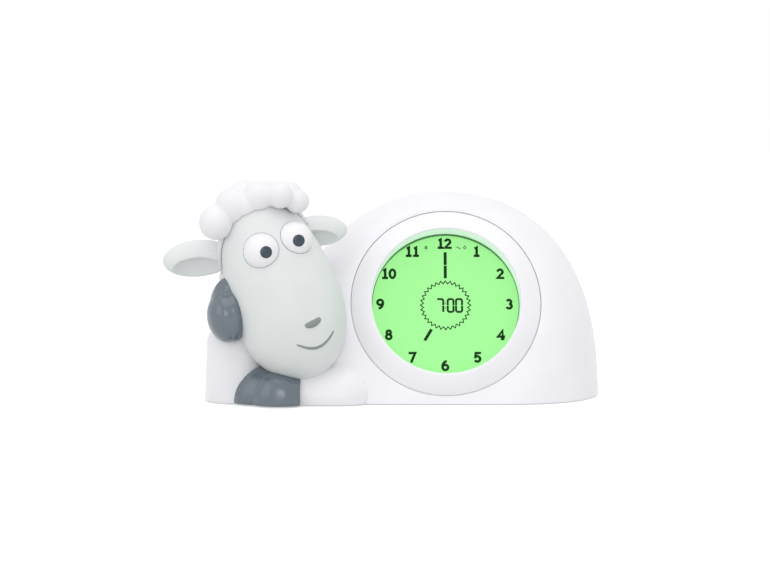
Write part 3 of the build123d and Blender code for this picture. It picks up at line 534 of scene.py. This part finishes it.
# Strokes of the slab-serif numerals in a box 1 high; widths follow below
SIX = [arc(0.31, 0.31, 0.26, 0.27, 0, 360), arc(0.47, 0.36, 0.42, 0.6, 180, 92)]
GLYPHS = {
    "0": [arc(0.31, 0.5, 0.25, 0.45, 0, 360, 24)],
    "1": [[(0.31, 0.05), (0.31, 0.95), (0.11, 0.82)], [(0.02, 0.05), (0.58, 0.05)]],
    "2": [arc(0.29, 0.7, 0.23, 0.25, 175, -30) + [(0.05, 0.05), (0.56, 0.05), (0.56, 0.17)]],
    "3": [arc(0.27, 0.73, 0.2, 0.22, 160, -90), arc(0.27, 0.28, 0.24, 0.24, 90, -160)],
    "4": [[(0.43, 0.05), (0.43, 0.95), (0.0, 0.3), (0.66, 0.3)], [(0.26, 0.05), (0.6, 0.05)]],
    "5": [[(0.5, 0.86), (0.5, 0.95), (0.12, 0.95), (0.09, 0.54)] + arc(0.27, 0.33, 0.25, 0.28, 120, -155)],
    "6": SIX,
    "7": [[(0.05, 0.82), (0.05, 0.95), (0.54, 0.95), (0.2, 0.05)], [(0.1, 0.05), (0.32, 0.05)]],
    "8": [arc(0.3, 0.74, 0.19, 0.21, 0, 360), arc(0.3, 0.29, 0.24, 0.25, 0, 360)],
    "9": [[(0.62 - x, 1 - y) for x, y in stroke] for stroke in SIX],
}
GLYPH_WIDTH = {"1": 0.58}
DEFAULT_WIDTH = 0.62
GLYPH_GAP = 0.1


def numeral_strokes(text, u, v):
    """Strokes of a number centred on a place of the dial."""
    widths = [GLYPH_WIDTH.get(letter, DEFAULT_WIDTH) for letter in text]
    total = sum(widths) + GLYPH_GAP * (len(text) - 1)
    cursor = -total / 2
    strokes = []
    for letter, width in zip(text, widths):
        for stroke in GLYPHS[letter]:
            strokes.append([(u + (cursor + x) * NUMERAL_WIDTH, v + (y - 0.5) * NUMERAL_HEIGHT)
                            for x, y in stroke])
        cursor += width + GLYPH_GAP
    return strokes


def dial_print(name, strokes, width, material=PRINT_DARK):
    printed(name, strokes, width, on_glass, material, CLOCK)


def make_numerals():
    strokes = []
    for hour in range(1, 13):
        turn = math.radians(90 - 30 * hour)
        strokes += numeral_strokes(str(hour), NUMERALS_MIDDLE[0] + NUMERALS_REACH[0] * math.cos(turn),
                                   NUMERALS_MIDDLE[1] + NUMERALS_REACH[1] * math.sin(turn))
    dial_print("dial_numerals", strokes, NUMERAL_STROKE)


def make_hands():
    """Two bars up to the twelve and one towards the seven."""
    minute, hour = [[(0, 27.2), (0, 20.5)], [(0, 20.2), (0, 13.6)]], [[(-7.1, -12.7), (-10.5, -18.5)]]
    dial_print("dial_hands", minute + hour, HAND_WIDTH)


def make_sun_ring():
    """Zigzag ring of the day sign round the digits."""
    teeth, outer, inner, drop = 32, 12.6, 11.1, 0.35
    path = []
    for k in range(2 * teeth + 1):
        turn = math.pi * k / teeth
        radius = inner if k % 2 else outer
        path.append((radius * math.cos(turn), radius * math.sin(turn) - drop))
    dial_print("dial_sun_ring", [path], SUN_STROKE)


def make_digits():
    """Time inside the ring: a seven, then noughts of an upper and a lower run of segments."""
    top, middle, bottom, cut, gap = 2.8, -0.45, -3.75, 0.6, 0.12
    strokes = [[(-4.15, top), (-1.75, top), (-1.15, top - cut), (-1.15, middle + gap)],
               [(-1.15, middle - gap), (-1.15, bottom)]]
    for left, right in ((1.1, 3.95), (5.25, 8.25)):
        for end, turn, start in ((top, top - cut, middle + gap), (bottom, bottom + cut, middle - gap)):
            strokes.append([(left, start), (left, turn), (left + cut, end),
                            (right - cut, end), (right, turn), (right, start)])
    dial_print("dial_digits", strokes, DIGIT_STROKE)


def make_signs():
    """Small, faint status marks beside the 12, and the colon."""
    bell = [arc(-9.6, 29.7, 0.55, 0.7, 0, 360, 12), [(-9.6, 29.3), (-9.6, 30.1)],
            [(-10.3, 29.0), (-8.9, 29.0)]]
    wave = [arc(6.2, 29.5, 0.55, 0.45, 180, 0, 6) + arc(7.3, 29.5, 0.55, 0.4, 180, 360, 6)[1:]]
    drop = [[(9.9, 30.6), (9.2, 29.5), (9.9, 28.9), (10.6, 29.5), (9.9, 30.6)]]
    colon = [[(0.0, v - 0.45), (0.0, v + 0.45)] for v in (-1.75, 0.65)]
    dial_print("dial_signs", bell + wave + drop + colon, SIGN_STROKE, PRINT_FAINT)


def make_film():
    """Polarising film, the panel's flat front face."""
    verts = [on_dial(0, -DIAL_SHIFT_UP, 0), on_dial(0, -DIAL_SHIFT_UP, FILM_THICKNESS)]
    faces = []
    for k in range(ROUND_SIDES):
        turn = 2 * math.pi * k / ROUND_SIDES
        u, v = FILM_RADIUS * math.cos(turn), FILM_RADIUS * math.sin(turn) - DIAL_SHIFT_UP
        verts += [on_dial(u, v, 0), on_dial(u, v, FILM_THICKNESS)]
        a, b = 2 + 2 * k, 2 + 2 * ((k + 1) % ROUND_SIDES)
        faces += [(0, b, a), (1, a + 1, b + 1), (a, b, b + 1, a + 1)]
    piece("lcd_film", verts, faces, MATERIALS["lcd_glass"], CLOCK, smooth=False)


def make_liner():
    """Thin skin on the recess wall, glowing pale green: the backlight's light falling on the wall, painted
    in as a glow.
    """
    verts, faces = [], []
    front, back = GLOW_SKIN_FRONT, GLOW_SKIN_BACK
    corners = [front, back, (back[0] - GLOW_SKIN_THICKNESS, back[1]), (front[0] - GLOW_SKIN_THICKNESS, front[1])]
    for k in range(ROUND_SIDES):
        turn = 2 * math.pi * k / ROUND_SIDES
        for radius, lift in corners:
            verts.append(on_lens(radius * math.cos(turn), radius * math.sin(turn), lift))
        for j in range(4):
            a, b = 4 * k, 4 * ((k + 1) % ROUND_SIDES)
            faces.append((a + j, a + (j + 1) % 4, b + (j + 1) % 4, b + j))
    piece("recess_painted_glow", verts, faces, RECESS_PAINTED_GLOW, CLOCK, smooth=False)


def make_gasket():
    """Dark gasket line where the recess meets the lens, with a painted glow of the backlight on it; arcs of
    painted shadow widen it under the top of the recess, where the recess's ceiling shades the lens.
    """
    verts, faces = [], []
    circle = arc(0, 0, GASKET_RADIUS, GASKET_RADIUS, 0, 360, ROUND_SIDES)
    ribbon(verts, faces, circle, GASKET_WIDTH, on_lens, closed=True)
    # Painted shadow under the top of the recess: the line made wider there
    for half_turn, width in GASKET_SHADOW_ARCS:
        radius = GASKET_EDGE - width / 2
        path = arc(0, 0, radius, radius, 90 - half_turn, 90 + half_turn, ROUND_SIDES // 2)
        ribbon(verts, faces, path, width, on_lens)
    piece("lens_gasket", verts, faces, GASKET_PAINTED_GLOW, CLOCK, smooth=False)


# ------------------------------------------------------------------ lamb
def on_head(x, y, z):
    """A point given from the chin in the egg's own leaning axes, in mm."""
    cos_roll, sin_roll = math.cos(HEAD_ROLL), math.sin(HEAD_ROLL)
    return CHIN + Vector((x * cos_roll - z * sin_roll, y, x * sin_roll + z * cos_roll)) * MM


def head_point(turn, height, lift=0.0):
    """A point of the head's surface, turn in degrees from the front and height in mm up its axis."""
    reach_up = (height - HEAD_BELOW) / (HEAD_ABOVE if height > HEAD_BELOW else HEAD_BELOW)
    radius = HEAD_RADIUS * math.sqrt(max(0.0, 1 - reach_up ** 2)) + lift
    turn = math.radians(turn)
    return on_head(radius * math.sin(turn), -radius * math.cos(turn), height)


def outside_egg(x, y, z):
    reach_up = (z - HEAD_BELOW) / (HEAD_ABOVE if z > HEAD_BELOW else HEAD_BELOW)
    return math.hypot(x / HEAD_RADIUS, y / HEAD_RADIUS, reach_up) > 1


def make_eye_seams():
    """Fine dark line where each eye meets the head, painted contact shade along the seam: the sphere's
    meeting with the egg, by halving.
    """
    for side, turn in EYE_TURNS.items():
        turn = math.radians(turn)
        out = Vector((math.sin(turn), -math.cos(turn), 0))
        across = Vector((math.cos(turn), math.sin(turn), 0))
        middle = out * EYE_REACH + Vector((0, 0, EYE_HEIGHT))
        points = []
        for k in range(EYE_SEAM_STEPS):
            spin = math.radians(360 / EYE_SEAM_STEPS * k)
            around = across * math.cos(spin) + Vector((0, 0, math.sin(spin)))
            low, high = 0.0, math.pi / 2
            for _ in range(EYE_SEAM_HALVINGS):
                tilt = (low + high) / 2
                place = middle + (out * math.cos(tilt) + around * math.sin(tilt)) * EYE_RADIUS
                if outside_egg(*place):
                    low = tilt
                else:
                    high = tilt
            points.append(on_head(*place))
        closed_tube(f"eye_seam_{side}", points, EYE_SEAM, SEAM_SHADE, CLOCK)


def face_stroke(name, places, half_widths):
    """Raised line on the face through (turn, height) places, with a half-width at each."""
    centres = [head_point(*place) for place in places]
    normals = [(head_point(*place, 1.0) - centre).normalized() for place, centre in zip(places, centres)]
    verts, faces = [], []
    raised(verts, faces, centres, normals, half_widths, FACE_LIFT)
    piece(name, verts, faces, INK_GREY, CLOCK)


def make_face_marks():
    """A plain oval nose and a short smile below it."""
    nose, swell, smile, thick = [], [], [], []
    for k in range(FACE_STEPS + 1):
        t = 2 * k / FACE_STEPS - 1
        nose.append((FACE_TURN + NOSE_REACH * t, NOSE_HEIGHT + NOSE_TILT * t))
        swell.append(NOSE_HALF_WIDTH * math.sqrt(max(NOSE_BLUNT, 1 - t * t)))
        smile.append((FACE_TURN + SMILE_REACH * t, SMILE_HEIGHT + SMILE_RISE * t * t))
        thick.append(SMILE_END + SMILE_SWELL * (1 - t * t))
    face_stroke("nose", nose, swell)
    face_stroke("smile", smile, thick)


def make_soft_pieces():
    for node, name, voxel, rounds, material in SOFT_PIECES:
        softened(nodes[node].data.copy(), name, node, voxel, rounds, material)


def make_raised_hoof():
    """Hoof against the cheek: its lobes melt into one form with a shallow crease between the toes."""
    bm = bmesh.new()
    for middle, half_sizes, lean in RAISED_HOOF:
        place = Matrix.Translation(Vector(middle) * MM) @ Matrix.Rotation(math.radians(lean), 4, "Y")
        place = place @ Matrix.Diagonal((*(Vector(half_sizes) * MM), 1))
        bmesh.ops.create_uvsphere(bm, u_segments=64, v_segments=48, radius=1.0, matrix=place)
    lobes = bpy.data.meshes.new("lobes")
    bm.to_mesh(lobes)
    bm.free()
    softened(lobes, "raised_hoof", "hoof_raised", HOOF_VOXEL, HOOF_ROUNDS)


# ------------------------------------------------------------------ back and underside
def on_rear(middle_u, middle_v):
    """Places on the rear panel from a point of it; u runs to the right as seen from behind."""
    up = Vector((0, -math.sin(REAR_LEAN), math.cos(REAR_LEAN)))
    out = Vector((0, math.cos(REAR_LEAN), math.sin(REAR_LEAN)))

    def place(u, v, rise):
        across = Vector((-(middle_u + u) * MM, 0, 0))
        return REAR_MIDDLE + across + up * (middle_v + v) * MM + out * (BUTTON_TOP + rise) * MM
    return place


def ring_of(radius):
    return arc(0, 0, radius, radius, 0, 360, 32)


def make_symbols():
    """Plain signs on the buttons, each moving with its button."""
    rays = []
    count, inner, outer = 8, 2.7, 4.0
    for k in range(count):
        turn = math.radians(360 / count * k)
        across, up = math.cos(turn), math.sin(turn)
        rays.append([(inner * across, inner * up), (outer * across, outer * up)])
    bell = arc(0, 0.3, 1.3, 1.5, 180, 0) + [(1.9, -1.2), (-1.9, -1.2), (-1.3, 0.3)]
    cone = [(-2.1, -0.6), (-2.1, 0.6), (-1.2, 0.6), (0, 1.7), (0, -1.7), (-1.2, -0.6), (-2.1, -0.6)]
    symbols = {
        "light": ((15, 31), [ring_of(1.8)] + rays),
        "set": ((6, 16), [ring_of(2.3), [(0, 1.5), (0, 0), (1.1, 0)]]),
        "plus": ((24, 16), [[(-1.8, 0), (1.8, 0)], [(0, -1.8), (0, 1.8)]]),
        "alarm": ((6, 2), [bell, [(-0.5, -1.9), (0.5, -1.9)]]),
        "minus": ((24, 2), [[(-1.8, 0), (1.8, 0)]]),
        "volume": ((24, -12), [cone, arc(0.3, 0, 1.6, 1.6, -50, 50, 8)]),
    }
    for name, (middle, strokes) in symbols.items():
        place, button = on_rear(*middle), f"{name}_button"
        printed(f"{name}_symbol", strokes, SYMBOL_STROKE, place, INK_WHITE, button)


def on_base_screw(x, y):
    """Places on the head of a screw in the underside."""
    return lambda u, v, rise: Vector((x + u, y + v, UNDERSIDE - rise)) * MM


def on_rear_screw(x, y, z):
    """Places on the head of a screw in the back; u runs to the right as seen from behind."""
    return lambda u, v, rise: Vector((x - u, y + rise, z + v)) * MM


def make_screw_crosses():
    """Flat dark crosses on the heads of the screws that can be seen: painted shade standing for their cross
    recesses.
    """
    arms = [[(-CROSS_HALF, 0), (CROSS_HALF, 0)], [(0, -CROSS_HALF), (0, CROSS_HALF)]]
    heads = [on_base_screw(*screw) for screw in BASE_SCREWS]
    heads += [on_rear_screw(*screw) for screw in REAR_SCREWS]
    verts, faces = [], []
    for place in heads:
        for arm in arms:
            ribbon(verts, faces, arm, CROSS_STROKE, place)
    piece("screw_crosses", verts, faces, SCREW_RECESS_SHADE, CLOCK, smooth=False)


def make_door_grip():
    """Ribs for the thumb across the battery door."""
    verts, faces = [], []
    down = Vector((0, 0, -1))
    for row in range(GRIP_ROWS):
        centres, half_widths = [], []
        y = GRIP_Y + row * GRIP_STEP
        for k in range(GRIP_POINTS + 1):
            t = 2 * k / GRIP_POINTS - 1
            centres.append(Vector((DOOR_X + GRIP_HALF * t, y, UNDERSIDE)) * MM)
            half_widths.append(GRIP_HALF_WIDTH * math.sqrt(max(GRIP_BLUNT, 1 - t ** 6)))
        raised(verts, faces, centres, [down] * len(centres), half_widths, GRIP_LIFT)
    piece("door_grip", verts, faces, MATERIALS["white_abs"], "battery_door")


# ------------------------------------------------------------------ everything
make_camera()
make_lights()
make_world()
make_floor()
bpy.context.scene.view_settings.view_transform = "Standard"

for name, obj in nodes.items():
    dress(obj, MATERIALS[slot_of[name]])

make_numerals()
make_hands()
make_sun_ring()
make_digits()
make_signs()
make_film()
make_liner()
make_gasket()
make_eye_seams()
make_face_marks()
make_soft_pieces()
make_raised_hoof()
make_symbols()
make_screw_crosses()
make_door_grip()
